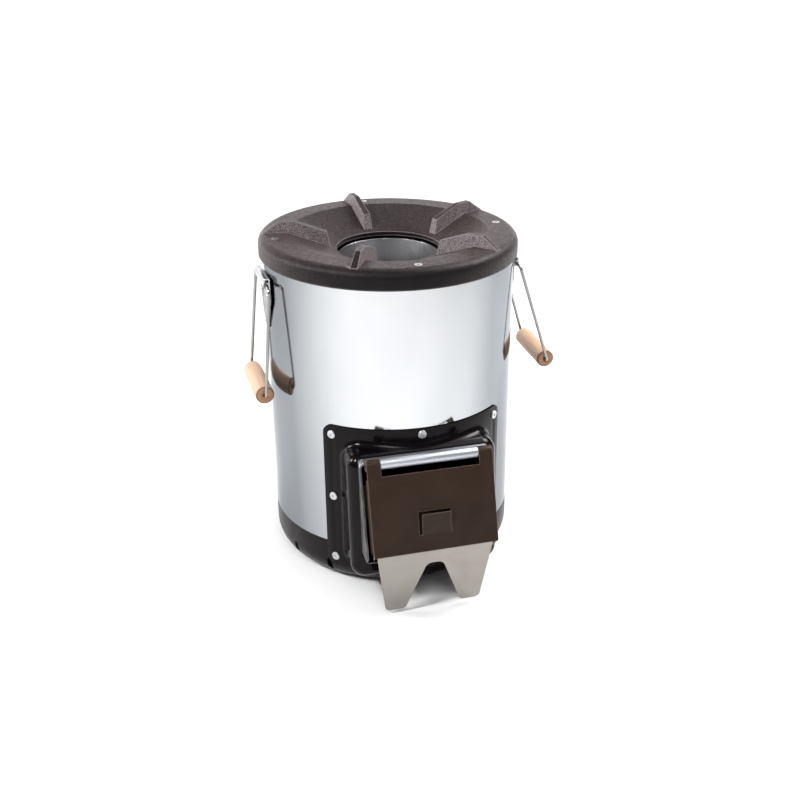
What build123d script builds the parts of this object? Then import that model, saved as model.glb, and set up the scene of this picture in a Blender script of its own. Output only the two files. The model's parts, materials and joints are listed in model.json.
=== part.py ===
from build123d import *
import math
import os

# Rocket stove. Millimetres, +Z up, the feed door faces -Y.
# The origin is the centre of the base pan's underside.

# ---- driving dimensions ----
BODY_R = 117.5          # outside of the shell and of the base pan
TOTAL_H = 330.0         # ground to the top of the pot ribs
SHEET = 0.8             # shell sheet
STEEL = 1.2             # duct, door and tray sheet
BAND_TOP = 44.6         # top of the enamelled base band
BASE_FILLET = 23.5      # rounded bottom edge of the base pan
SHELL_TOP = 311.0       # top edge of the shell, under the cast top
SKIRT_Z = 301.2         # lower edge of the cast top's skirt
RIM_Z = 319.5           # flat rim of the cast top
LID_R = 121.2           # outside of the cast top
CONE_R = 93.4           # where the flat rim turns into the inner cone
HOLE_R = 49.0           # flame hole in the cast top
CHIMNEY_R = 47.3        # outside of the chimney tube
CHIMNEY_TOP = 297.4
LID_SCREW_R = 106.0
CHAMBER_HALF_W = 60.2   # outside half width of the burn chamber
CHAMBER_LOW = 55.8      # underside of the burn chamber
CHAMBER_HIGH = 147.2    # top of the burn chamber
CHAMBER_BACK = 56.0
CHAMBER_CORNER = 3.0    # radius of the long edges of chamber and collar
CHAMBER_FRONT = -96.0
HINGE_Y = -141.0        # axis of the door hinge
HINGE_Z = 150.5
ROD_R = 3.65            # hinge rod
BARREL_BORE_R = 3.70    # 0.05 running clearance on the rod
BARREL_R = 4.95         # outside of barrel and knuckles
BARREL_HALF = 44.9      # half length of the collar's barrel
DOOR_HALF_W = 58.0
DOOR_LENGTH = 83.5      # hinge axis to the door's lower edge
DOOR_TILT = 17.0        # lean of the closed door from vertical
TRAY_HALF_W = 54.4
TRAY_Z = 69.5           # top of the fuel shelf
TRAY_FRONT = -165.5
LEG_FOOT = (-155.9, 4.5)  # y, z of the outer face at the leg tips
BAIL_WIRE_R = 1.5
BAIL_BORE_R = 1.55      # 0.05 running clearance on the wire
BAIL_D = 120.8          # hinge axis of the bail, from the stove's axis
BAIL_Z = 283.6
BAIL_TOP_HALF = 32.0    # half width of the bail at its hinge
BAIL_LOW_HALF = 38.0    # half width of the bail at its grip
BAIL_LENGTH = 102.0
BAIL_BEND_R = 3.2       # bends of the wire, on its centre line
BAIL_PIN_END = 11.0     # the wire ends stop this far from the middle of the bracket
GRIP_R = 9.0
GRIP_HALF = 33.0
LEFT_SWING = 5.4        # rest angle of each bail, out from hanging straight
RIGHT_SWING = 17.0
INSULATION_R = 112.8
FIT = 0.05              # gap between round parts that are fixed to each other
CLEAR = 0.2             # gap between parts that only lie near each other
BEYOND = 300.0          # cuts reach this far, past everything they cut

os.makedirs("parts", exist_ok=True)


# ---- helpers ----
def save(shape, node):
    export_step(shape, "parts/" + node + ".step")


def around(shape, angle):
    """Turn a shape about the stove's axis: 0 is the door's side, +90 is +X."""
    return Rot(0, 0, angle) * shape


def ring(r_out, r_in, z_low, z_high):
    return extrude(Pos(0, 0, z_low) * (Circle(r_out) - Circle(r_in)), z_high - z_low)


def block(x_range, y_range, z_range):
    size = [b - a for a, b in (x_range, y_range, z_range)]
    middle = [(a + b) / 2 for a, b in (x_range, y_range, z_range)]
    return Pos(*middle) * Box(*size)


def spindle(radius, start, direction, length):
    """A round bar from start along direction."""
    return extrude(Plane(origin=start, z_dir=direction) * Circle(radius), length)


def turned(*outline):
    """A solid of revolution from (radius, height) points."""
    return revolve(Plane.XZ * make_face(Polyline(*outline, close=True)), Axis.Z)


def countersunk_screw(head_r, shank_r, length, socket_r):
    """A screw along -Z with the top of its head at the origin."""
    head_h = head_r - shank_r
    body = turned((0, 0), (head_r, 0), (shank_r, -head_h), (shank_r, -length), (0, -length))
    socket = Pos(0, 0, -head_h * 0.7) * extrude(RegularPolygon(socket_r, 6), head_h)
    return body - socket


def pan_head_screw(head_r, head_h, shank_r, length, socket_r):
    """A round-headed screw along -Z with its head seated on the origin plane."""
    head = extrude(Circle(head_r), head_h)
    head = fillet(head.edges().sort_by(Axis.Z)[-1], head_h * 0.6)
    shank = Pos(0, 0, -length) * extrude(Circle(shank_r), length)
    socket = Pos(0, 0, head_h * 0.35) * extrude(RegularPolygon(socket_r, 6), head_h)
    return head + shank - socket


def hex_nut(across_r, bore_r, height):
    return extrude(RegularPolygon(across_r, 6) - Circle(bore_r), height)


def radial(shape, angle, distance, z):
    """Place a shape whose +Z is to point outward from the stove at this angle and height."""
    return around(Pos(0, -distance, z) * Rot(90, 0, 0) * shape, angle)


# ---- base pan ----
PAN_T = 1.0
PAN_LIP_R = BODY_R - SHEET - 0.1   # the lip slips inside the shell
PAN_LIP_TOP = 54.0
SLOT_PITCH = 22.5
SLOT_W = 6.0
SLOT_LOW, SLOT_HIGH = 9.0, 23.5
SLOT_DEPTH = 16.0       # each slot is cut from this far inside the wall
SLOT_FIRST, SLOT_LAST = 2, 14   # places used, counted round from the door's side


def pan_section():
    """Half section of the pan: floor, rounded foot, wall and the lip inside the shell."""
    foot_r = BODY_R - BASE_FILLET
    foot = (foot_r, BASE_FILLET)
    outside = CenterArc(foot, BASE_FILLET, -90, 90)
    inside = CenterArc(foot, BASE_FILLET - PAN_T, -90, 90)
    wall = Polyline(
        (BODY_R, BASE_FILLET),
        (BODY_R, BAND_TOP),
        (PAN_LIP_R, BAND_TOP),
        (PAN_LIP_R, PAN_LIP_TOP),
        (PAN_LIP_R - PAN_T, PAN_LIP_TOP),
        (PAN_LIP_R - PAN_T, BAND_TOP - PAN_T),
        (BODY_R - PAN_T, BAND_TOP - PAN_T),
        (BODY_R - PAN_T, BASE_FILLET),
    )
    floor = Polyline((foot_r, PAN_T), (0, PAN_T), (0, 0), (foot_r, 0))
    return make_face([outside, inside, *wall.edges(), *floor.edges()])


def housing_screw_holes(radius):
    return [radial(Pos(0, 0, -10) * extrude(Circle(radius), 20), a, BODY_R, z) for a, z in HOUSING_SCREWS]


def make_base_pan():
    pan = around(revolve(Plane.XZ * pan_section(), Axis.Z), -90)
    slot_h = SLOT_HIGH - SLOT_LOW
    slot = Plane.XZ * SlotOverall(slot_h, SLOT_W, rotation=90)
    slot = Pos(0, -BODY_R + SLOT_DEPTH, (SLOT_LOW + SLOT_HIGH) / 2) * extrude(slot, 1.5 * SLOT_DEPTH)
    for k in range(SLOT_FIRST, SLOT_LAST + 1):
        pan -= around(slot, k * SLOT_PITCH)
    for hole in housing_screw_holes(SCREW_SHANK_R):
        pan -= hole
    return pan


# ---- shell and what closes its top ----
BRACKET_ANGLES = {"left": -87.5, "right": 89.5}
HOUSING_SCREWS = [(0, 163.5)]
HOUSING_SCREWS += [(side * 40.7, z) for side in (-1, 1) for z in (160.0, 95.8, 30.0)]
SCREW_SHANK_R = 2.0
RIVET_R = 1.6
RIVET_HEAD_R = 2.8
RIVET_TAIL_R = 2.6
BRACKET_T = 1.5
RIVET_GRIP = 3.4        # between a rivet's head and its tail
RIVET_HEAD_H = 1.3
RIVET_TAIL_H = 1.2
BRACKET_HALF, BRACKET_TIP_HALF = 20.5, 6.5
BRACKET_SHOULDER, BRACKET_LOW = 268.0, 238.0
BRACKET_TOP = 290.5     # the strap is folded over above the hinge
BRACKET_FOLD = 2.2      # the fold's outer face, out from the hinge axis
BRACKET_CORNER_R = 5.0
GRIP_EDGE_R = 1.6
RIVET_PLACES = [(-12, 270.5), (12, 270.5), (0, 244.0)]
LID_SCREW_ANGLES = [0, 90, 180, 270]
LID_SHANK_R = 2.0
LID_HEAD_R = 3.6
LID_SCREW_L = 15.0
LID_SOCKET_R = 1.5
LID_NUT_H = 3.2
NUT_R = 4.0             # across the corners
TOP_RING_T = 1.5
TOP_RING_IN = 92.0      # inner radius of the shell top ring
COVER_Z = 290.2         # insulation cover
COVER_T = 1.0
FEED_CUT_HALF_W = 66.0
FEED_CUT_LOW, FEED_CUT_HIGH = 40.0, 151.5


def rivet_shanks(angle, radius):
    bar = spindle(radius, (0, 0, -8), (0, 0, 1), 12)
    return [around(Pos(t, -BODY_R, z) * Rot(90, 0, 0) * bar, angle) for t, z in RIVET_PLACES]


def make_outer_shell():
    shell = ring(BODY_R, BODY_R - SHEET, BAND_TOP, SHELL_TOP)
    shell -= block((-FEED_CUT_HALF_W, FEED_CUT_HALF_W), (-130, -60), (FEED_CUT_LOW, FEED_CUT_HIGH))
    for hole in housing_screw_holes(SCREW_SHANK_R):
        shell -= hole
    for angle in BRACKET_ANGLES.values():
        for shank in rivet_shanks(angle, RIVET_R):
            shell -= shank
    return shell


def make_shell_top_ring():
    top = ring(BODY_R - SHEET - FIT, TOP_RING_IN, SHELL_TOP - TOP_RING_T, SHELL_TOP)
    for angle in LID_SCREW_ANGLES:
        top -= around(Pos(0, -LID_SCREW_R, 0) * extrude(Circle(LID_SHANK_R), BEYOND + SHELL_TOP), angle)
    return top


def make_insulation_cover():
    return ring(BODY_R - SHEET - FIT, CHIMNEY_R + CLEAR, COVER_Z, COVER_Z + COVER_T)


# ---- burn chamber and chimney ----
FOOT_W = 6.0            # flange at the foot of the chimney tube


def chamber_box(inset):
    """The chamber's outer form, or its inside when inset by the sheet's thickness."""
    x = CHAMBER_HALF_W - inset
    z_range = (CHAMBER_LOW + inset, CHAMBER_HIGH - inset)
    box = block((-x, x), (CHAMBER_FRONT - inset, CHAMBER_BACK - inset), z_range)
    return fillet(box.edges().filter_by(Axis.Y), CHAMBER_CORNER - inset)


def make_burn_chamber():
    hole = Pos(0, 0, CHAMBER_HIGH - 2 * STEEL) * extrude(Circle(CHIMNEY_R - STEEL), 4 * STEEL)
    return chamber_box(0) - chamber_box(STEEL) - hole


def make_chimney_tube():
    tube = ring(CHIMNEY_R, CHIMNEY_R - STEEL, CHAMBER_HIGH, CHIMNEY_TOP)
    foot = ring(CHIMNEY_R + FOOT_W, CHIMNEY_R - STEEL, CHAMBER_HIGH, CHAMBER_HIGH + STEEL)
    return tube + foot


# ---- insulation ----
SHIELD_LOW = 38.0
BOTTOM_WOOL = SHIELD_LOW + STEEL + CLEAR
LOWER_WOOL = 54.6
LOWER_TOP = CHAMBER_HIGH + STEEL + CLEAR
WOOL_GAP = 2.5          # between the chamber's sides and the wool


def make_bottom_insulation():
    return extrude(Pos(0, 0, BOTTOM_WOOL) * Circle(INSULATION_R), LOWER_WOOL - BOTTOM_WOOL - CLEAR)


def make_lower_insulation():
    wool = extrude(Pos(0, 0, LOWER_WOOL) * Circle(INSULATION_R), LOWER_TOP - LOWER_WOOL)
    x = CHAMBER_HALF_W + WOOL_GAP
    return wool - block((-x, x), (-BEYOND, CHAMBER_BACK + CLEAR), (0, BEYOND))


def make_upper_insulation():
    return ring(INSULATION_R, CHIMNEY_R + FOOT_W + CLEAR, LOWER_TOP, COVER_Z - CLEAR)


def make_base_shield():
    return extrude(Pos(0, 0, SHIELD_LOW) * Circle(BODY_R - PAN_T - FIT), STEEL)


# ---- cast top ----
RIB_COUNT = 5
RIB_FIRST = -28.6       # angle of the first rib from the door's side
RIB_FOOT_W, RIB_TOP_W = 8.6, 5.2
SKIRT_T = 3.2
RIM_EDGE_R = 8.5        # rounding between the rim and the skirt
LIP_TOP, LIP_Z, LIP_LOW = 304.9, 303.6, 299.6   # heights at the edge of the flame hole
LIP_W = 5.0
HOLLOW_R = 90.0         # where the underside of the cone meets the underside of the rim
RIB_IN, RIB_OUT = 54.0, 116.2   # radii of a rib's ends
RIB_FOOT = 304.0
RIB_PROFILE = [(RIB_IN, RIB_FOOT), (57.5, 319.5), (85.6, 329.7), (88.0, TOTAL_H), (100.8, TOTAL_H), (RIB_OUT, 319.2)]


def make_rib():
    """A tapered pot rib in the -Y direction, narrower at its top."""
    low = LIP_LOW
    outline = [(RIB_IN, low), *RIB_PROFILE, (RIB_OUT, low)]
    side = Plane.YZ * make_face(Polyline(*[(-r, z) for r, z in outline], close=True))
    blank = extrude(side, RIB_FOOT_W, both=True)
    draft = (RIB_FOOT_W - RIB_TOP_W) / 2
    wedge = Plane.XZ * make_face(
        Polyline(
            (-RIB_FOOT_W / 2, RIB_FOOT),
            (RIB_FOOT_W / 2, RIB_FOOT),
            (RIB_FOOT_W / 2 - draft, TOTAL_H + 1),
            (-RIB_FOOT_W / 2 + draft, TOTAL_H + 1),
            close=True,
        )
    )
    return blank & extrude(wedge, BEYOND)


def make_cast_top():
    rim_r = LID_R - RIM_EDGE_R
    edge = CenterArc((rim_r, RIM_Z - RIM_EDGE_R), RIM_EDGE_R, 0, 90)
    bevel = SKIRT_T / 5
    outline = Polyline(
        (rim_r, RIM_Z),
        (CONE_R, RIM_Z),
        (HOLE_R + 3, LIP_TOP),
        (HOLE_R, LIP_Z),
        (HOLE_R, LIP_LOW),
        (HOLE_R + LIP_W, LIP_LOW),
        (HOLLOW_R, SHELL_TOP),
        (LID_R - SKIRT_T, SHELL_TOP),
        (LID_R - SKIRT_T, SKIRT_Z),
        (LID_R - bevel, SKIRT_Z),
        (LID_R, SKIRT_Z + bevel),
        (LID_R, RIM_Z - RIM_EDGE_R),
    )
    top = revolve(Plane.XZ * make_face([edge, *outline.edges()]), Axis.Z)
    hollow = turned(
        (0, LIP_LOW),
        (HOLE_R + LIP_W, LIP_LOW),
        (HOLLOW_R, SHELL_TOP),
        (BEYOND, SHELL_TOP),
        (BEYOND, 0),
        (0, 0),
    )
    rib = make_rib() - hollow
    for k in range(RIB_COUNT):
        top += around(rib, RIB_FIRST + k * 360 / RIB_COUNT)
    for angle in LID_SCREW_ANGLES:
        top -= around(Pos(0, -LID_SCREW_R, RIM_Z) * lid_screw_cut(), angle)
    return top


def lid_screw_cut():
    head_h = LID_HEAD_R - LID_SHANK_R
    return turned(
        (0, 1), (LID_HEAD_R, 1), (LID_HEAD_R, 0), (LID_SHANK_R, -head_h), (LID_SHANK_R, -BEYOND), (0, -BEYOND)
    )


def make_top_screws():
    screw = countersunk_screw(LID_HEAD_R, LID_SHANK_R, LID_SCREW_L, LID_SOCKET_R)
    return Compound([around(Pos(0, -LID_SCREW_R, RIM_Z) * screw, a) for a in LID_SCREW_ANGLES])


def make_top_nuts():
    nut = Pos(0, 0, SHELL_TOP - TOP_RING_T - LID_NUT_H) * hex_nut(NUT_R, LID_SHANK_R, LID_NUT_H)
    return Compound([around(Pos(0, -LID_SCREW_R, 0) * nut, a) for a in LID_SCREW_ANGLES])


# ---- feed housing ----
FLANGE_T = 1.2
FLANGE_HALF_ANGLE = 45.2
FLANGE_LOW, FLANGE_HIGH = 20.0, 169.0
FLANGE_CORNER = 9.0
BUMP_HALF_W = 70.5
BUMP_LOW, BUMP_HIGH = 28.0, 151.5
BUMP_CORNER = 14.0      # radius of the edges that run inward
BUMP_EDGE = 12.0        # radius around the face
BUMP_ROOT = 7.5         # radius where the bump meets the flange
BUMP_FACE_TOP = -126.0  # y of the face at its top and bottom edges
BUMP_FACE_LOW = -137.0
BUMP_INNER = -80.0      # the bump's form starts here, inside the shell
HOUSING_HEAD_R, HOUSING_HEAD_H = 4.0, 1.6
HOUSING_SCREW_L = 5.6
HOUSING_SOCKET_R = 1.3
HOUSING_NUT_Z = 4.5     # inner end of the nut, in from the shell's outside


def bump_solid(inset):
    """The drawn bump: a wide box with a leaning face and large rounded edges."""
    low, high = BUMP_LOW + inset, BUMP_HIGH - inset
    side = Plane.YZ * make_face(
        Polyline(
            (BUMP_INNER, low - 2),
            (BUMP_FACE_LOW + inset, low),
            (BUMP_FACE_TOP + inset, high),
            (BUMP_INNER, high + 3),
            close=True,
        )
    )
    solid = extrude(side, BUMP_HALF_W - inset, both=True)
    going_in = [e for e in solid.edges() if abs((e @ 1 - e @ 0).Y) > 30]
    solid = fillet(going_in, BUMP_CORNER - inset)
    face = solid.faces().sort_by(Axis.Y)[0]
    return fillet(face.edges(), BUMP_EDGE - inset)


def flange_region():
    """Everything between the flange's sides and ends, with rounded corners."""
    r_in, r_out = BODY_R - 5, BODY_R + 60
    slope = math.tan(math.radians(FLANGE_HALF_ANGLE))
    wedge = make_face(Polyline((0, 0), (-BEYOND * slope, -BEYOND), (BEYOND * slope, -BEYOND), close=True))
    region = ring(r_out, r_in, FLANGE_LOW, FLANGE_HIGH) & extrude(wedge, BEYOND)
    corners = [e for e in region.edges() if abs(e.length - (r_out - r_in)) < 0.1]
    return fillet(corners, FLANGE_CORNER)


def make_feed_housing():
    seat = BODY_R + FIT
    skin = extrude(Circle(seat + FLANGE_T), SHELL_TOP) + bump_solid(0)
    skin = fillet([e for e in skin.edges() if is_root_edge(e)], BUMP_ROOT)
    skin -= extrude(Circle(seat), SHELL_TOP)
    skin -= bump_solid(FLANGE_T)
    skin &= flange_region()
    mouth = STEEL + CLEAR
    mouth_x = CHAMBER_HALF_W + mouth
    skin -= block((-mouth_x, mouth_x), (-BEYOND, 0), (CHAMBER_LOW - mouth, CHAMBER_HIGH + mouth))
    for hole in housing_screw_holes(SCREW_SHANK_R):
        skin -= hole
    return skin


def is_root_edge(edge):
    """True where the bump rises out of the drum around the shell."""
    places = [edge @ t for t in (0, 0.5, 1)]
    on_drum = all(abs(math.hypot(p.X, p.Y) - (BODY_R + FIT + FLANGE_T)) < 0.02 for p in places)
    return on_drum and all(0 < p.Z < 200 and p.Y < -60 for p in places)


def make_housing_screws():
    screw = pan_head_screw(HOUSING_HEAD_R, HOUSING_HEAD_H, SCREW_SHANK_R, HOUSING_SCREW_L, HOUSING_SOCKET_R)
    seat = BODY_R + FIT + FLANGE_T
    return Compound([radial(screw, a, seat, z) for a, z in HOUSING_SCREWS])


def make_housing_nuts():
    nut = Pos(0, 0, -HOUSING_NUT_Z) * hex_nut(NUT_R, SCREW_SHANK_R, LID_NUT_H)
    return Compound([radial(nut, a, BODY_R, z) for a, z in HOUSING_SCREWS])


# ---- feed collar with the hinge barrel ----
HEM_W = 1.9
HEM_DEPTH = 3.0
COLLAR_TOP_Y = -133.5   # front edge of the collar at the height of its top
COLLAR_BACK = -92.0
CORNER_CUT = [(-150.0, 50.0), (-150.0, 56.0), (-161.0, 68.0), (-180.0, 68.0), (-180.0, 50.0)]  # y, z
TONGUE_BACK = -132.0    # the barrel's sheet lies on the collar up to here


def collar_front(offset):
    """Half-space in front of the collar's leaning mouth, moved inward by offset."""
    half_space = Box(2 * BEYOND, 2 * BEYOND, 2 * BEYOND)
    lean = Rot(-DOOR_TILT, 0, 0) * Pos(0, -BEYOND + offset, 0) * half_space
    return Pos(0, COLLAR_TOP_Y, CHAMBER_HIGH) * lean


def make_feed_collar():
    x = CHAMBER_HALF_W + FIT
    low, high = CHAMBER_LOW - FIT, CHAMBER_HIGH + FIT

    def sleeve(grow, back):
        return block((-x - grow, x + grow), (-BEYOND, back), (low - grow, high + grow))

    def rounded(solid, radius):
        return fillet(solid.edges().filter_by(Axis.Y), radius)

    opening = rounded(sleeve(0, COLLAR_BACK + 1), CHAMBER_CORNER)
    tube = rounded(sleeve(STEEL, COLLAR_BACK), CHAMBER_CORNER + STEEL) - opening - collar_front(0)
    hem = rounded(sleeve(HEM_W, COLLAR_BACK), CHAMBER_CORNER + HEM_W) - opening - collar_front(0)
    hem &= collar_front(HEM_DEPTH)
    hem -= block((-BEYOND, BEYOND), (-BEYOND, COLLAR_BACK), (0, CHAMBER_LOW + STEEL))
    corner_cut = extrude(Plane.YZ * make_face(Polyline(*CORNER_CUT, close=True)), BEYOND, both=True)
    tongue_front = HINGE_Y + BARREL_BORE_R - CLEAR
    tongue = block((-BARREL_HALF, BARREL_HALF), (tongue_front, TONGUE_BACK), (high, high + STEEL))
    barrel = spindle(BARREL_R, (-BARREL_HALF, HINGE_Y, HINGE_Z), (1, 0, 0), 2 * BARREL_HALF)
    bore = spindle(BARREL_BORE_R, (-BARREL_HALF - 1, HINGE_Y, HINGE_Z), (1, 0, 0), 2 * BARREL_HALF + 2)
    return tube + hem - corner_cut + tongue + barrel - bore


# ---- door ----
EAR_GAP = 0.4
SLOT_BOTTOM = 10.5      # distance from the hinge axis to the lower edge of the slot
SIDE_TOP, SIDE_LOW = 13.5, 80.0
SIDE_DEPTH_TOP, SIDE_DEPTH_LOW = 8.0, 13.0
TAB_SIDES = (-12.4, 14.2)
TAB_TOP, TAB_LOW = 48.5, 68.0
TAB_RISE = 4.2          # the tab's top edge stands this far off the door
TAB_GAPS = (2.6, 1.0, 1.9)  # open slots at its left, right and top
DOOR_CORNER_R = 2.0
ROD_SHORT = 0.5         # the rod stops this far inside each knuckle's end


def door_frame(shape):
    """Put a shape drawn hanging from the origin onto the hinge, leaning out as the closed door."""
    return Pos(0, HINGE_Y, HINGE_Z) * Rot(-DOOR_TILT, 0, 0) * shape


def make_door_panel():
    face, back = -BARREL_R, -BARREL_R + STEEL
    ear_in = BARREL_HALF + EAR_GAP
    panel = block((-DOOR_HALF_W, DOOR_HALF_W), (face, back), (-DOOR_LENGTH, 0))
    panel -= block((-ear_in, ear_in), (-2 * BARREL_R, 0), (-SLOT_BOTTOM, 2 * BARREL_R))
    for side in (-1, 1):
        start = (side * ear_in, 0, 0)
        panel += spindle(BARREL_R, start, (side, 0, 0), DOOR_HALF_W - ear_in)
    flange_outline = Plane.YZ * make_face(
        Polyline(
            (face, -SIDE_TOP),
            (face + SIDE_DEPTH_TOP, -SIDE_TOP),
            (face + SIDE_DEPTH_LOW, -SIDE_LOW),
            (face, -SIDE_LOW),
            close=True,
        )
    )
    for side in (-1, 1):
        flange = extrude(flange_outline, side * STEEL)
        panel += Pos(side * (DOOR_HALF_W - STEEL), 0, 0) * flange
    bottom = panel.edges().filter_by(Axis.Y).group_by(Axis.Z)[0]
    panel = fillet(bottom, DOOR_CORNER_R)
    left, right = TAB_SIDES
    gap_left, gap_right, gap_top = TAB_GAPS
    panel -= block((left - gap_left, right + gap_right), (-2 * BARREL_R, 0), (-TAB_LOW, -TAB_TOP + gap_top))
    tab_side = Plane.YZ * make_face(
        Polyline(
            (face, -TAB_LOW),
            (face - TAB_RISE, -TAB_TOP),
            (face - TAB_RISE + STEEL, -TAB_TOP),
            (back, -TAB_LOW),
            close=True,
        )
    )
    panel += Pos(left, 0, 0) * extrude(tab_side, right - left)
    panel -= spindle(ROD_R, (-BEYOND, 0, 0), (1, 0, 0), 2 * BEYOND)
    return door_frame(panel)


def make_hinge_rod():
    half = DOOR_HALF_W - ROD_SHORT
    rod = spindle(ROD_R, (-half, 0, 0), (1, 0, 0), 2 * half)
    return door_frame(chamfer(rod.edges().filter_by(GeomType.CIRCLE), ROD_SHORT))


# ---- fuel tray ----
LEG_OUT = 45.0          # half widths of the legs at their tips
LEG_IN = 26.6
NOTCH_HALF = 7.4
NOTCH_HEIGHT = 51.0     # above the tips
SHELF_BACK = -32.0
RUNNER_FRONT = -150.0
TIP_R, NOTCH_R = 5.5, 7.0       # corners of the leg tips and of the notch


def make_fuel_tray():
    foot_y, foot_z = LEG_FOOT
    drop = TRAY_Z - foot_z
    lean = math.degrees(math.atan2(foot_y - TRAY_FRONT, drop))
    fall = math.hypot(foot_y - TRAY_FRONT, drop)
    outline = Polyline(
        (-TRAY_HALF_W, 0),
        (TRAY_HALF_W, 0),
        (LEG_OUT, -fall),
        (LEG_IN, -fall),
        (NOTCH_HALF, -fall + NOTCH_HEIGHT),
        (-NOTCH_HALF, -fall + NOTCH_HEIGHT),
        (-LEG_IN, -fall),
        (-LEG_OUT, -fall),
        close=True,
    )
    apron_face = make_face(outline)
    tips = apron_face.vertices().group_by(Axis.Y)[0]
    apron_face = fillet(tips, TIP_R)
    notch = [v for v in apron_face.vertices() if abs(v.Y - (-fall + NOTCH_HEIGHT)) < 0.01]
    apron_face = fillet(notch, NOTCH_R)
    apron = extrude(Plane.XZ * apron_face, -STEEL)
    apron = Pos(0, TRAY_FRONT, TRAY_Z) * Rot(lean, 0, 0) * apron
    shelf = block((-TRAY_HALF_W, TRAY_HALF_W), (TRAY_FRONT, SHELF_BACK), (TRAY_Z - STEEL, TRAY_Z))
    tray = shelf + apron
    for side in (-1, 1):
        inner = side * (TRAY_HALF_W - STEEL)
        outer = side * TRAY_HALF_W
        x_range = (min(inner, outer), max(inner, outer))
        runner_low = CHAMBER_LOW + STEEL + CLEAR
        tray += block(x_range, (RUNNER_FRONT, SHELF_BACK), (runner_low, TRAY_Z))
    bend = [
        e
        for e in tray.edges().filter_by(Axis.X)
        if abs(e.center().Z - TRAY_Z) < 0.3 and e.center().Y < TRAY_FRONT + 0.5
    ]
    return fillet(bend, 1.1)


# ---- handles ----
def bail_frame(shape, angle, swing):
    """Hang a shape drawn in the X-Z plane under the origin on a bail hinge."""
    hung = Pos(0, -BAIL_D, BAIL_Z) * Rot(-swing, 0, 0) * shape
    return around(hung, angle)


def make_bracket(angle):
    plate_d = BODY_R + FIT
    half, tip = BRACKET_HALF, BRACKET_TIP_HALF
    top, shoulder, low = BAIL_Z, BRACKET_SHOULDER, BRACKET_LOW
    face = make_face(
        Polyline((-half, top), (half, top), (half, shoulder), (tip, low), (-tip, low), (-half, shoulder), close=True)
    )
    face = fillet(face.vertices().group_by(Axis.Y)[0], BRACKET_CORNER_R)
    plate = Pos(0, -plate_d, 0) * extrude(Plane.XZ * face, BRACKET_T)
    fold_d = BAIL_D + BRACKET_FOLD
    fold = block((-half, half), (-fold_d, -plate_d), (top, BRACKET_TOP))
    fold = fillet(fold.edges().filter_by(Axis.X).group_by(Axis.Z)[-1], BRACKET_T)
    fold -= block(
        (-half - 1, half + 1), (-fold_d + BRACKET_T, -plate_d - BRACKET_T), (top - 1, BRACKET_TOP - BRACKET_T)
    )
    barrel = spindle(BAIL_D - plate_d, (-half, -BAIL_D, BAIL_Z), (1, 0, 0), 2 * half)
    bore = spindle(BAIL_BORE_R, (-half - 1, -BAIL_D, BAIL_Z), (1, 0, 0), 2 * half + 2)
    bracket = around(plate + fold + barrel - bore, angle)
    for shank in rivet_shanks(angle, RIVET_R):
        bracket -= shank
    return bracket


def make_bracket_rivets(angle):
    seat = BODY_R + FIT + BRACKET_T
    head = extrude(Circle(RIVET_HEAD_R), RIVET_HEAD_H)
    head = fillet(head.edges().sort_by(Axis.Z)[-1], 0.8 * RIVET_HEAD_H)
    end = Pos(0, 0, -RIVET_GRIP - RIVET_TAIL_H)
    tail = end * extrude(Circle(RIVET_TAIL_R), RIVET_TAIL_H)
    shank = end * extrude(Circle(RIVET_R), RIVET_GRIP + RIVET_TAIL_H + 0.2)
    rivet = head + tail + shank
    places = [Pos(t, -seat, z) * Rot(90, 0, 0) * rivet for t, z in RIVET_PLACES]
    return Compound([around(p, angle) for p in places])


def make_bail(angle, swing):
    points = [
        (-BAIL_PIN_END, 0, 0),
        (-BAIL_TOP_HALF, 0, 0),
        (-BAIL_LOW_HALF, 0, -BAIL_LENGTH),
        (BAIL_LOW_HALF, 0, -BAIL_LENGTH),
        (BAIL_TOP_HALF, 0, 0),
        (BAIL_PIN_END, 0, 0),
    ]
    path = FilletPolyline(*points, radius=BAIL_BEND_R)
    wire = sweep(Plane(origin=path @ 0, z_dir=path % 0) * Circle(BAIL_WIRE_R), path=path)
    return bail_frame(wire, angle, swing)


def make_grip(angle, swing):
    grip = spindle(GRIP_R, (-GRIP_HALF, 0, -BAIL_LENGTH), (1, 0, 0), 2 * GRIP_HALF)
    grip = fillet(grip.edges().filter_by(GeomType.CIRCLE), GRIP_EDGE_R)
    grip -= spindle(BAIL_BORE_R, (-GRIP_HALF - 1, 0, -BAIL_LENGTH), (1, 0, 0), 2 * GRIP_HALF + 2)
    return bail_frame(grip, angle, swing)


# ---- write every node ----
save(make_base_pan(), "base_pan")
save(make_base_shield(), "base_shield")
save(make_bottom_insulation(), "bottom_insulation")
save(make_lower_insulation(), "lower_insulation")
save(make_upper_insulation(), "upper_insulation")
save(make_insulation_cover(), "insulation_cover")
save(make_outer_shell(), "outer_shell")
save(make_shell_top_ring(), "shell_top_ring")
save(make_burn_chamber(), "burn_chamber")
save(make_chimney_tube(), "chimney_tube")
save(make_cast_top(), "cast_top")
save(make_top_screws(), "top_screws")
save(make_top_nuts(), "top_nuts")
save(make_feed_housing(), "feed_housing")
save(make_housing_screws(), "housing_screws")
save(make_housing_nuts(), "housing_nuts")
save(make_feed_collar(), "feed_collar")
save(make_door_panel(), "door_panel")
save(make_hinge_rod(), "hinge_rod")
save(make_fuel_tray(), "fuel_tray")
for name, swing in (("left", LEFT_SWING), ("right", RIGHT_SWING)):
    angle = BRACKET_ANGLES[name]
    save(make_bracket(angle), name + "_bracket")
    save(make_bracket_rivets(angle), name + "_bracket_rivets")
    save(make_bail(angle, swing), name + "_bail")
    save(make_grip(angle, swing), name + "_grip")
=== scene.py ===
import json
import math

import bmesh
import bpy
from mathutils import Matrix, Vector


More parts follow.
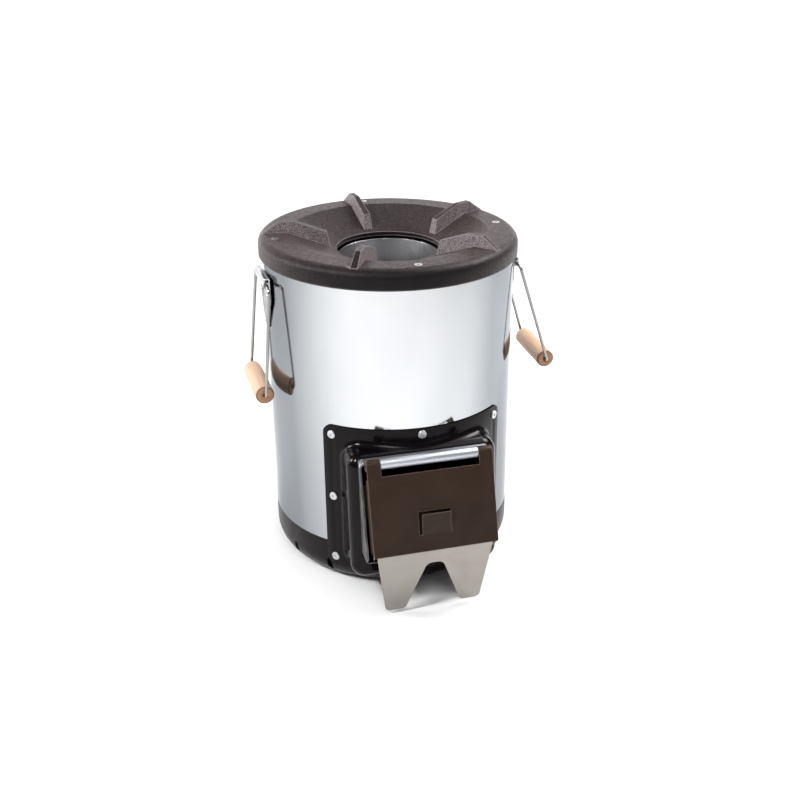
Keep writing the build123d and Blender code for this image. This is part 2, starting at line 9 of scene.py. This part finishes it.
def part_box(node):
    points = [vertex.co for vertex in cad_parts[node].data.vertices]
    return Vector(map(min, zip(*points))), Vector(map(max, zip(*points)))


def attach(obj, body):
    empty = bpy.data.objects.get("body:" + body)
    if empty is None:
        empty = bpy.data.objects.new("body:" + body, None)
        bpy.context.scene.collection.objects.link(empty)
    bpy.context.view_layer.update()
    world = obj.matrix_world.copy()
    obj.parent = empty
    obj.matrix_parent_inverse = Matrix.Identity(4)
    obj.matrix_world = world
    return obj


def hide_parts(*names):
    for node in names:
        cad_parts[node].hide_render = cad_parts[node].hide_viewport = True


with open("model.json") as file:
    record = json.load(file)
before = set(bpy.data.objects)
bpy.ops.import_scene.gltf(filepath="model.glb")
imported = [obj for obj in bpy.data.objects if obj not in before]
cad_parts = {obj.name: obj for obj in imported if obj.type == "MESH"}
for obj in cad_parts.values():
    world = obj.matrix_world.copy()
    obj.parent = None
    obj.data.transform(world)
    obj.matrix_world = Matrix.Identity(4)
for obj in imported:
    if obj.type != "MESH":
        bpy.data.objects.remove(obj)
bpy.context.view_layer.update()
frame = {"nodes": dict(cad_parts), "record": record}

# The looks of the rocket stove. Metres, +Z up, the feed door faces -Y.
MM = 0.001
BURNER_TOP = 0.15          # the burn chamber ends here; below it all inner steel is sooty
SMOKE_LINE = 0.1445        # below this height the feed collar is smoked
GRIP_HALF = 33 * MM        # half the length of a wooden grip
LID_MIDDLE = (0, 0, 0.32)
STOVE_MIDDLE = (0, 0, 0.16)
FLOOR_HALF = 6.0
scene = bpy.context.scene


# ---- nodes of a procedural material ----
class Look:
    """A Principled material whose grain, painted highlights and bump come from textures in the stove's own
    space.

    The colour and roughness given first are the plain values, kept where nothing is linked.
    """

    def __init__(self, name, colour, metallic, roughness, **sockets):
        self.material = bpy.data.materials.new(name)
        self.material.use_nodes = True
        self.tree = self.material.node_tree
        self.shader = self.tree.nodes["Principled BSDF"]
        self.shader.inputs["Base Color"].default_value = (*colour, 1)
        self.shader.inputs["Metallic"].default_value = metallic
        self.shader.inputs["Roughness"].default_value = roughness
        for socket, value in sockets.items():
            self.shader.inputs[socket.replace("_", " ")].default_value = value
        self.place = self.tree.nodes.new("ShaderNodeTexCoord").outputs["Object"]
        self.last_bump = None

    def node(self, kind, inputs, **settings):
        node = self.tree.nodes.new(kind)
        for key, value in settings.items():
            setattr(node, key, value)
        for key, value in inputs.items():
            if isinstance(value, bpy.types.NodeSocket):
                self.tree.links.new(value, node.inputs[key])
            else:
                node.inputs[key].default_value = value
        return node

    def noise(self, size_mm, detail=3.0, stretch=(1, 1, 1), distortion=0.0):
        """Noise with features of about size_mm, drawn out along an axis where stretch is above 1."""
        scale = Vector([1 / s for s in stretch])
        mapped = self.node("ShaderNodeMapping", {"Vector": self.place, "Scale": scale})
        inputs = {
            "Vector": mapped.outputs["Vector"],
            "Scale": 1 / (size_mm * MM),
            "Detail": detail,
            "Distortion": distortion,
        }
        return self.node("ShaderNodeTexNoise", inputs).outputs["Fac"]

    def ranged(self, value, low, high, from_low=0.3, from_high=0.7):
        """Runs from low to high as value goes from from_low to from_high."""
        inputs = {
            "Value": value,
            "From Min": from_low,
            "From Max": from_high,
            "To Min": low,
            "To Max": high,
        }
        return self.node("ShaderNodeMapRange", inputs).outputs["Result"]

    def mixed(self, factor, first, second):
        """A colour that goes from first to second as factor goes from 0 to 1."""
        node = self.tree.nodes.new("ShaderNodeMix")
        node.data_type = "RGBA"
        self.tree.links.new(factor, node.inputs["Factor"])
        for socket, value in (("A", first), ("B", second)):
            target = [i for i in node.inputs if i.name == socket and i.type == "RGBA"][0]
            if isinstance(value, bpy.types.NodeSocket):
                self.tree.links.new(value, target)
            else:
                target.default_value = (*value, 1)
        return [o for o in node.outputs if o.type == "RGBA"][0]

    def facing(self):
        """0 where the surface faces the viewer, 1 where it is seen edge on."""
        return self.node("ShaderNodeLayerWeight", {"Blend": 0.5}).outputs["Facing"]

    def height(self):
        """Height above the ground."""
        return self.node("ShaderNodeSeparateXYZ", {"Vector": self.place}).outputs["Z"]

    def upright(self):
        """1 on faces that stand upright, 0 on level ones."""
        normal = self.node("ShaderNodeNewGeometry", {}).outputs["Normal"]
        rise = self.node("ShaderNodeSeparateXYZ", {"Vector": normal}).outputs["Z"]
        return self.ranged(rise, 1, 0, 0.3, 0.6)

    def from_axis(self):
        """Distance from the stove's axis."""
        flat = self.node("ShaderNodeMapping", {"Vector": self.place, "Scale": Vector((1, 1, 0))})
        length = self.node("ShaderNodeVectorMath", {0: flat.outputs["Vector"]}, operation="LENGTH")
        return length.outputs["Value"]

    def edges(self, radius_mm):
        """0 on flats, rising to 1 on outer and inner edges."""
        rounded = self.node("ShaderNodeBevel", {"Radius": radius_mm * MM}, samples=6).outputs["Normal"]
        flat = self.node("ShaderNodeNewGeometry", {}).outputs["True Normal"]
        node = self.tree.nodes.new("ShaderNodeVectorMath")
        node.operation = "DOT_PRODUCT"
        self.tree.links.new(rounded, node.inputs[0])
        self.tree.links.new(flat, node.inputs[1])
        return self.ranged(node.outputs["Value"], 1, 0, 0.86, 0.99)

    def colour(self, value):
        self.tree.links.new(value, self.shader.inputs["Base Color"])

    def roughness(self, value):
        self.tree.links.new(value, self.shader.inputs["Roughness"])

    def bump(self, height, depth_mm, strength=1.0):
        """A relief of depth_mm on top of the reliefs added before."""
        inputs = {"Height": height, "Distance": depth_mm * MM, "Strength": strength}
        if self.last_bump is not None:
            inputs["Normal"] = self.last_bump
        node = self.node("ShaderNodeBump", inputs)
        self.last_bump = node.outputs["Normal"]
        self.tree.links.new(self.last_bump, self.shader.inputs["Normal"])


def polished_stainless():
    """Mirror-like sheet whose colour is painted darker where it is seen at a low angle."""
    look = Look("polished_stainless", (0.62, 0.635, 0.65), 1.0, 0.09, Specular_Tint=(0.72, 0.73, 0.75, 1))
    clouds = look.ranged(look.noise(75, 2, stretch=(1, 1, 1.6)), 0, 1)
    middle = look.mixed(clouds, (0.62, 0.63, 0.64), (0.55, 0.56, 0.575))
    # painted shade: the colour darkens towards the flanks, standing in for the darker surroundings they
    # reflect
    painted_flank_shade = look.ranged(look.facing(), 0, 1, 0.1, 0.5)
    look.colour(look.mixed(painted_flank_shade, middle, (0.25, 0.265, 0.28)))
    smears = look.noise(60, 4, distortion=0.6)
    look.roughness(look.ranged(smears, 0.07, 0.13))
    look.bump(look.noise(90, 1), 0.35, 0.25)
    look.bump(look.noise(0.5, 2, stretch=(1, 1, 30)), 0.002, 0.3)
    return look.material


def steel_sheet():
    """Inner sheet steel: sooty in the fire, cleaner towards the top of the chimney."""
    look = Look("steel_sheet", (0.42, 0.42, 0.43), 1.0, 0.32)
    patches = look.ranged(look.noise(20, 4), 0, 1)
    soot = look.mixed(patches, (0.012, 0.011, 0.010), (0.04, 0.038, 0.036))
    cleaner = look.ranged(look.height(), 0, 1, BURNER_TOP, 0.30)
    look.colour(look.mixed(cleaner, soot, (0.40, 0.40, 0.41)))
    look.roughness(look.ranged(look.noise(25, 4), 0.25, 0.42))
    look.bump(look.noise(0.7, 2, stretch=(1, 1, 18)), 0.004, 0.4)
    return look.material


def collar_stainless():
    """Bright on the hinge barrel, smoked on the mouth below it."""
    look = Look("collar_stainless", (0.50, 0.52, 0.55), 1.0, 0.36)
    patches = look.ranged(look.noise(12, 4), 0, 1)
    smoked = look.mixed(patches, (0.10, 0.10, 0.10), (0.22, 0.215, 0.21))
    above_smoke = look.ranged(look.height(), 0, 1, SMOKE_LINE, SMOKE_LINE + 3 * MM)
    look.colour(look.mixed(above_smoke, smoked, (0.46, 0.48, 0.51)))
    look.roughness(look.ranged(look.noise(40, 3), 0.42, 0.50))
    look.bump(look.noise(0.8, 2, stretch=(24, 6, 6)), 0.001, 0.2)
    return look.material


def brushed_stainless():
    """The fuel tray, brushed from side to side and a little smeared."""
    look = Look("brushed_stainless", (0.30, 0.28, 0.26), 1.0, 0.36)
    brushing = look.noise(0.45, 3, stretch=(1, 60, 60))
    smears = look.noise(35, 4, distortion=0.8)
    look.colour(look.mixed(look.ranged(smears, 0, 1), (0.24, 0.22, 0.20), (0.29, 0.27, 0.25)))
    look.roughness(look.ranged(smears, 0.32, 0.44))
    look.bump(brushing, 0.006, 0.6)
    return look.material


def screw_steel():
    look = Look("screw_steel", (0.52, 0.52, 0.525), 1.0, 0.3)
    look.roughness(look.ranged(look.noise(1.2, 3), 0.24, 0.4))
    return look.material


def bracket_steel():
    look = Look("bracket_steel", (0.44, 0.44, 0.455), 1.0, 0.2)
    look.roughness(look.ranged(look.noise(9, 4), 0.14, 0.3))
    look.bump(look.noise(0.5, 2, stretch=(1, 1, 14)), 0.003, 0.3)
    return look.material


def bail_steel():
    look = Look("bail_steel", (0.34, 0.325, 0.31), 1.0, 0.2)
    look.roughness(look.ranged(look.noise(5, 4), 0.14, 0.28))
    look.bump(look.noise(0.4, 2), 0.004, 0.3)
    return look.material


def cast_iron():
    """Sand-cast, blackened and oiled, with a painted sheen at low angles and painted highlights on edges
    and on the ribs' sides.
    """
    look = Look("cast_iron", (0.01, 0.008, 0.008), 0.0, 0.4, Specular_IOR_Level=0.12)
    sand = look.noise(1.6, 4)
    grain = look.noise(3.6, 4)
    patches = look.noise(45, 3, distortion=0.5)
    skin = look.mixed(look.ranged(patches, 0, 1), (0.005, 0.0035, 0.004), (0.009, 0.0065, 0.007))
    grains = look.ranged(sand, 0, 1, 0.35, 0.65)
    # painted sheen: lighter grains take over from the dark skin where the iron is seen at a low angle
    painted_sheen = look.mixed(grains, (0.020, 0.014, 0.014), (0.075, 0.057, 0.057))
    tone = look.mixed(look.ranged(look.facing(), 0, 1, 0.15, 0.8), skin, painted_sheen)
    # painted highlight: the upright sides of the ribs, which stand between the hole and the rim, are
    # painted with light speckles for glints of light
    fine_grains = look.ranged(look.noise(0.9, 3), 0, 1, 0.35, 0.65)
    painted_rib_glints = look.mixed(fine_grains, (0.045, 0.036, 0.037), (0.26, 0.225, 0.23))
    sides = look.mixed(look.upright(), tone, painted_rib_glints)
    inside_rim = look.ranged(look.from_axis(), 1, 0, 0.113, 0.115)
    outside_hole = look.ranged(look.from_axis(), 0, 1, 0.0505, 0.052)
    with_ribs = look.mixed(inside_rim, tone, look.mixed(outside_hole, tone, sides))
    # painted highlight: the edges are painted light grey
    look.colour(look.mixed(look.edges(1.5), with_ribs, (0.22, 0.185, 0.185)))
    look.roughness(look.ranged(grain, 0.36, 0.52))
    look.bump(grain, 0.25, 0.7)
    look.bump(sand, 0.3, 1.0)
    return look.material


def dark_enamel():
    """The base pan's enamel, satin."""
    look = Look("dark_enamel", (0.03, 0.02, 0.02), 0.0, 0.3, Specular_IOR_Level=0.14)
    patches = look.noise(40, 3)
    cloudy = look.ranged(patches, 0, 1)
    look.colour(look.mixed(cloudy, (0.005, 0.003, 0.0035), (0.009, 0.0055, 0.006)))
    look.roughness(look.ranged(patches, 0.26, 0.36))
    look.bump(look.noise(0.8, 3), 0.02, 0.25)
    return look.material


def gloss_enamel():
    """The feed housing's black enamel."""
    look = Look(
        "gloss_enamel",
        (0.002, 0.0015, 0.002),
        0.0,
        0.15,
        Specular_IOR_Level=0.14,
        Specular_Tint=(1, 0.9, 0.9, 1),
    )
    patches = look.noise(30, 3)
    look.roughness(look.ranged(patches, 0.15, 0.21))
    look.bump(look.noise(1.1, 3), 0.02, 0.22)
    return look.material


def bronze_enamel():
    """The door's brown finish with fine flecks and a painted highlight on its edges."""
    look = Look("bronze_enamel", (0.05, 0.03, 0.02), 0.0, 0.4, Specular_IOR_Level=0.14)
    patches = look.noise(30, 4, distortion=0.7)
    fleck = look.noise(0.5, 3)
    tone = look.mixed(look.ranged(patches, 0, 1), (0.021, 0.011, 0.007), (0.026, 0.0145, 0.0095))
    flecked = look.mixed(look.ranged(fleck, 0, 0.3), tone, (0.044, 0.028, 0.019))
    # painted highlight: the edges are painted light tan
    look.colour(look.mixed(look.edges(0.7), flecked, (0.20, 0.14, 0.10)))
    look.roughness(look.ranged(patches, 0.36, 0.46))
    look.bump(fleck, 0.015, 0.3)
    return look.material


def fibre_wool():
    look = Look("fibre_wool", (0.80, 0.79, 0.75), 0.0, 0.95)
    tufts = look.noise(4, 5, distortion=1.0)
    look.colour(look.mixed(look.ranged(tufts, 0, 1), (0.70, 0.69, 0.64), (0.86, 0.85, 0.81)))
    look.bump(tufts, 0.8, 0.8)
    return look.material


def grip_wood():
    """Pale beech with its grain along the grip's own X axis."""
    look = Look("grip_wood", (0.86, 0.66, 0.50), 0.0, 0.5)
    figure = look.noise(2.2, 4, stretch=(14, 1, 1), distortion=0.4)
    pores = look.noise(0.45, 3, stretch=(16, 1, 1))
    tone = look.mixed(look.ranged(figure, 0, 1), (0.57, 0.38, 0.26), (0.48, 0.30, 0.195))
    look.colour(look.mixed(look.ranged(pores, 0, 0.4, 0.55, 0.75), tone, (0.42, 0.25, 0.155)))
    look.roughness(look.ranged(figure, 0.42, 0.56))
    look.bump(pores, 0.03, 0.5)
    return look.material


def grip_end_wood():
    """End grain: darker, with fine pores and growth rings round the bore."""
    look = Look("grip_end_wood", (0.36, 0.19, 0.10), 0.0, 0.6)
    offset = look.node("ShaderNodeMapping", {"Vector": look.place, "Location": (0, 0.004, 0.006)})
    rings = look.node(
        "ShaderNodeTexWave",
        {"Vector": offset.outputs["Vector"], "Scale": 180.0, "Distortion": 2.5, "Detail": 2.0},
        wave_type="RINGS",
        rings_direction="X",
    ).outputs["Fac"]
    pores = look.noise(0.35, 3)
    tone = look.mixed(look.ranged(rings, 0, 1, 0.1, 0.9), (0.40, 0.22, 0.115), (0.31, 0.155, 0.08))
    look.colour(look.mixed(look.ranged(pores, 0, 0.6, 0.52, 0.7), tone, (0.16, 0.075, 0.04)))
    look.bump(pores, 0.05, 0.6)
    return look.material


def grip_rim_wood():
    """The scorched ring that turning leaves at the edge of each end."""
    look = Look("grip_rim_wood", (0.12, 0.065, 0.04), 0.0, 0.6)
    look.colour(look.mixed(look.ranged(look.noise(1.5, 3), 0, 1), (0.09, 0.05, 0.03), (0.20, 0.115, 0.07)))
    return look.material


# material slot in the record: its look
LOOKS = {
    "polished_stainless": polished_stainless,
    "steel_sheet": steel_sheet,
    "collar_stainless": collar_stainless,
    "brushed_stainless": brushed_stainless,
    "screw_steel": screw_steel,
    "bracket_steel": bracket_steel,
    "bail_steel": bail_steel,
    "cast_iron": cast_iron,
    "dark_enamel": dark_enamel,
    "gloss_enamel": gloss_enamel,
    "bronze_enamel": bronze_enamel,
    "fibre_wool": fibre_wool,
    "grip_wood": grip_wood,
}
materials = {slot: make() for slot, make in LOOKS.items()}
for part in frame["record"]["subparts"]:
    node = frame["nodes"][part["node"]]
    for place in node.material_slots:
        place.material = materials[part["material_slot"]]


# ---- turned wooden grips ----
def lathe(name, outline, looks, segments=72):
    """A body of revolution about X from (x, radius, index of look) points, closed on itself."""
    mesh = bpy.data.meshes.new(name)
    shape = bmesh.new()
    rings = []
    for x, radius, _ in outline:
        angles = [2 * math.pi * k / segments for k in range(segments)]
        rings.append([shape.verts.new((x, radius * math.cos(a), radius * math.sin(a))) for a in angles])
    for i, (_, _, look) in enumerate(outline):
        here, after = rings[i], rings[(i + 1) % len(outline)]
        for k in range(segments):
            n = (k + 1) % segments
            face = shape.faces.new((here[k], here[n], after[n], after[k]))
            face.material_index = look
            face.smooth = True
    bmesh.ops.recalc_face_normals(shape, faces=shape.faces)
    shape.to_mesh(mesh)
    shape.free()
    for look in looks:
        mesh.materials.append(look)
    return bpy.data.objects.new(name, mesh)


def grip_outline(half, radius):
    """Crowned side, scorched rim, slightly dished end and a countersunk bore, as (x, radius, look)."""
    side, rim, end = 0, 1, 2    # index of each look
    bore = 1.7 * MM
    crown = 0.25 * MM
    steps = 10
    outline = []
    for k in range(steps + 1):
        t = 2 * k / steps - 1
        look = rim if k == steps else side
        outline.append((t * (half - 1.3 * MM), radius - crown * t * t, look))
    right_end = [
        (half - 0.5 * MM, radius - 0.65 * MM, rim),
        (half, radius - 1.5 * MM, end),
        (half - 0.25 * MM, radius * 0.5, end),
        (half - 0.3 * MM, bore + 0.7 * MM, rim),
        (half - 1.4 * MM, bore, rim),
    ]
    outline += right_end
    for i in reversed(range(len(right_end))):
        x, r, _ = right_end[i]
        look = right_end[i - 1][2] if i else rim
        outline.append((-x, r, look))
    return outline


def add_grip(side, joint):
    """A turned grip in the place of the plain one, just inside its surface."""
    low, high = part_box(side + "_grip")
    axis = Vector(joint["axis"])
    radius = (high.z - low.z) / 2 - 0.1 * MM
    looks = [materials["grip_wood"], grip_rim, grip_end]
    grip = lathe(side + "_turned_grip", grip_outline(GRIP_HALF, radius), looks)
    turn = Vector((1, 0, 0)).rotation_difference(axis).to_matrix().to_4x4()
    grip.matrix_world = Matrix.Translation(joint["pos_m"]) @ turn
    scene.collection.objects.link(grip)
    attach(grip, side + "_grip")
    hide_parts(side + "_grip")


grip_rim = grip_rim_wood()
grip_end = grip_end_wood()
joints = {joint["name"]: joint for joint in frame["record"]["behaviour"]["joints"]}
for side in ("left", "right"):
    add_grip(side, joints[side + "_grip_spin"])


# ---- soft edges on the sheet and cast parts, in millimetres ----
EDGE_RADII = {
    "cast_top": 0.9,
    "door_panel": 0.3,
    "fuel_tray": 0.25,
    "feed_collar": 0.3,
    "chimney_tube": 0.3,
    "base_pan": 0.3,
    "feed_housing": 0.3,
    "left_bracket": 0.3,
    "right_bracket": 0.3,
}


def round_edges(node, radius_mm):
    """Joins the faces' loose borders, then rounds every edge sharper than 38 degrees."""
    weld = node.modifiers.new("weld", "WELD")
    weld.merge_threshold = 0.005 * MM
    bevel = node.modifiers.new("bevel", "BEVEL")
    bevel.width = radius_mm * MM
    bevel.segments = 3
    bevel.limit_method = "ANGLE"
    bevel.angle_limit = math.radians(38)
    bevel.use_clamp_overlap = True
    bevel.harden_normals = True


for name, radius_mm in EDGE_RADII.items():
    round_edges(frame["nodes"][name], radius_mm)


# ---- floor and light ----
def make_floor():
    look = Look("floor_paper", (0.86, 0.86, 0.86), 0.0, 0.6)
    look.colour(look.mixed(look.ranged(look.noise(300, 3), 0, 1), (0.85, 0.85, 0.85), (0.87, 0.87, 0.87)))
    # painted light: far from the stove the paper glows, standing in for the lit white end of a studio
    # sweep
    away = look.node("ShaderNodeVectorMath", {0: look.place}, operation="LENGTH").outputs["Value"]
    glow = look.ranged(away, 0, 0.65, 1.1, 1.9)
    look.shader.inputs["Emission Color"].default_value = (1, 1, 1, 1)
    look.tree.links.new(glow, look.shader.inputs["Emission Strength"])
    mesh = bpy.data.meshes.new("floor")
    corners = [(x * FLOOR_HALF, y * FLOOR_HALF, 0) for x, y in ((-1, -1), (1, -1), (1, 1), (-1, 1))]
    mesh.from_pydata(corners, [], [(0, 1, 2, 3)])
    mesh.materials.append(look.material)
    floor = bpy.data.objects.new("floor", mesh)
    scene.collection.objects.link(floor)


def add_light(data, direction, place=(0, 0, 0)):
    light = bpy.data.objects.new(data.name, data)
    light.location = place
    light.rotation_euler = direction.to_track_quat("-Z", "Y").to_euler()
    scene.collection.objects.link(light)


def add_panel(name, place, target, size, watts, spread=180):
    """A rectangular light at place that shines at target."""
    data = bpy.data.lights.new(name, "AREA")
    data.shape = "RECTANGLE"
    data.size, data.size_y = size
    data.energy = watts
    data.spread = math.radians(spread)
    add_light(data, Vector(target) - Vector(place), place)


def add_sky(strength, angle, direction):
    """A very wide sun, as an overcast sky gives."""
    data = bpy.data.lights.new("sky", "SUN")
    data.energy = strength
    data.angle = math.radians(angle)
    add_light(data, Vector(direction))


def make_world(light, backdrop):
    """A studio that lights the stove with strength light and shows a backdrop of strength backdrop."""
    world = bpy.data.worlds.new("studio")
    world.use_nodes = True
    tree = world.node_tree
    sky = tree.nodes["Background"]
    sky.inputs["Color"].default_value = (0.96, 0.98, 1.0, 1)
    seen = tree.nodes.new("ShaderNodeLightPath").outputs["Is Camera Ray"]
    strength = tree.nodes.new("ShaderNodeMapRange")
    strength.inputs["To Min"].default_value = light
    strength.inputs["To Max"].default_value = backdrop
    tree.links.new(seen, strength.inputs["Value"])
    tree.links.new(strength.outputs["Result"], sky.inputs["Strength"])
    scene.world = world


make_floor()
make_world(0.22, 1.1)
scene.view_settings.view_transform = "Standard"
add_panel("backdrop", (0, 2.6, 0.75), (0, 0, 0.75), (5, 1.5), 38)
add_panel("left_panel", (-2.0, 1.2, 0.5), (0, 0, 0.4), (1.4, 0.8), 12)
add_panel("front_floor", (-0.12, -0.85, 0.95), (-0.12, -0.85, 0), (0.3, 0.5), 4.5)
add_panel("right_floor", (0.75, 0.1, 1.0), (0.55, 0.1, 0), (0.5, 0.5), 15)
add_panel("window", (-1.1, -0.55, 1.3), STOVE_MIDDLE, (0.2, 0.25), 20)
add_panel("lid_key", (-1.3, 0.25, 0.85), LID_MIDDLE, (0.35, 0.35), 1.2, spread=50)
add_sky(1.4, 50, (-0.45, -0.1, -0.88))

# ---- camera ----
TURN = math.radians(-13.7)      # the camera stands this far round from the door's side
PITCH = 0.4454                  # looks down by this many radians
YAW = -0.049                    # looks aside by this many radians
ROLL = -0.013
DISTANCE = 1.142                # to the point on the stove's axis at AIM_Z
AIM_Z = 0.1317
look_dir = Vector((0, math.cos(PITCH), -math.sin(PITCH)))
right = Vector((1, 0, 0))
up = right.cross(look_dir)
camera_place = Vector((0, 0, AIM_Z)) - DISTANCE * look_dir
panned_right = math.cos(YAW) * right + math.sin(YAW) * look_dir
panned_dir = -math.sin(YAW) * right + math.cos(YAW) * look_dir
rolled_right = math.cos(ROLL) * panned_right + math.sin(ROLL) * up
rolled_up = -math.sin(ROLL) * panned_right + math.cos(ROLL) * up
axes = Matrix((rolled_right, rolled_up, -panned_dir)).transposed().to_4x4()
camera_data = bpy.data.cameras.new("camera")
camera_data.lens = 51.05
camera_data.sensor_width = 36
camera_data.shift_x = -0.058
camera_data.shift_y = 0.0132
camera = bpy.data.objects.new("camera", camera_data)
camera.matrix_world = Matrix.Rotation(TURN, 4, "Z") @ Matrix.Translation(camera_place) @ axes
scene.collection.objects.link(camera)
scene.camera = camera
